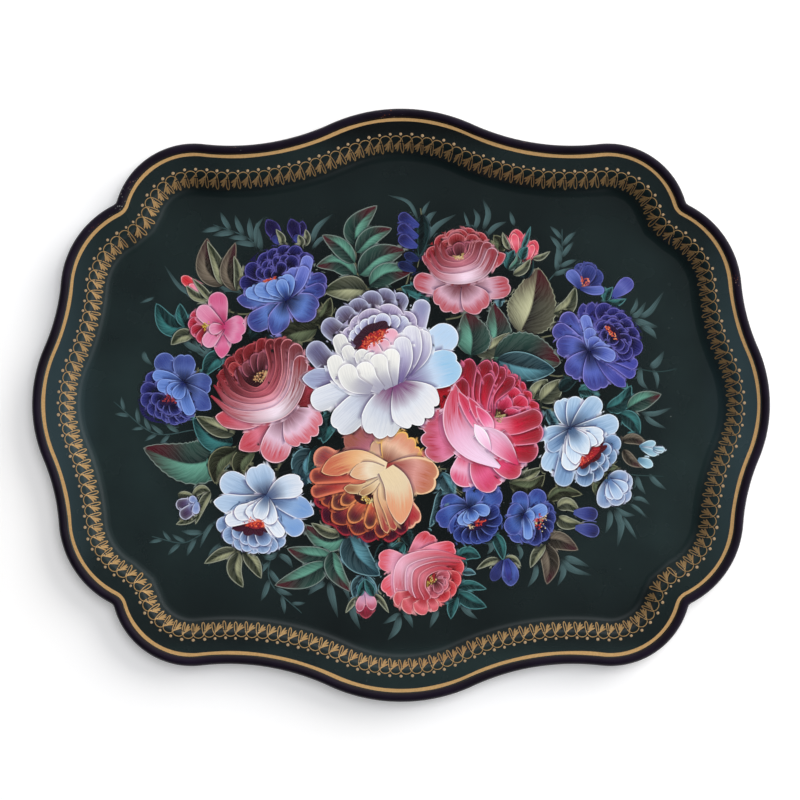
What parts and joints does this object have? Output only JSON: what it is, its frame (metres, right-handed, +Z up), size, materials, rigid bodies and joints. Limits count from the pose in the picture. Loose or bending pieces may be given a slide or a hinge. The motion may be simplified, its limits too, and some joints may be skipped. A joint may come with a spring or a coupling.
{
  "type": "painted serving tray",
  "caption": "Shaped steel serving tray with a wired edge, dark lacquered, painted with a flower bouquet and a gold border.",
  "frame": {"origin": "middle of the underside, on the surface the tray stands on", "axes": "+X along the length, +Y across the width towards the top of the bouquet, +Z up out of the well"},
  "size_m": [0.4896, 0.3946, 0.017],
  "materials": {
    "lacquer": "glossy dark green lacquer over ground, satin in places",
    "edge_enamel": "dark aubergine enamel on the rolled edge, slightly worn",
    "gold_paint": "hand-painted gold under varnish",
    "flower_paint": "oil paint in flower colours under clear varnish",
    "leaf_paint": "oil paint in leaf greens under clear varnish",
    "steel_wire": "plain drawn steel wire"
  },
  "bodies": {
    "root": {"tray_pan": "lacquer", "rim_wire": "steel_wire"}
  },
  "joints": []
}
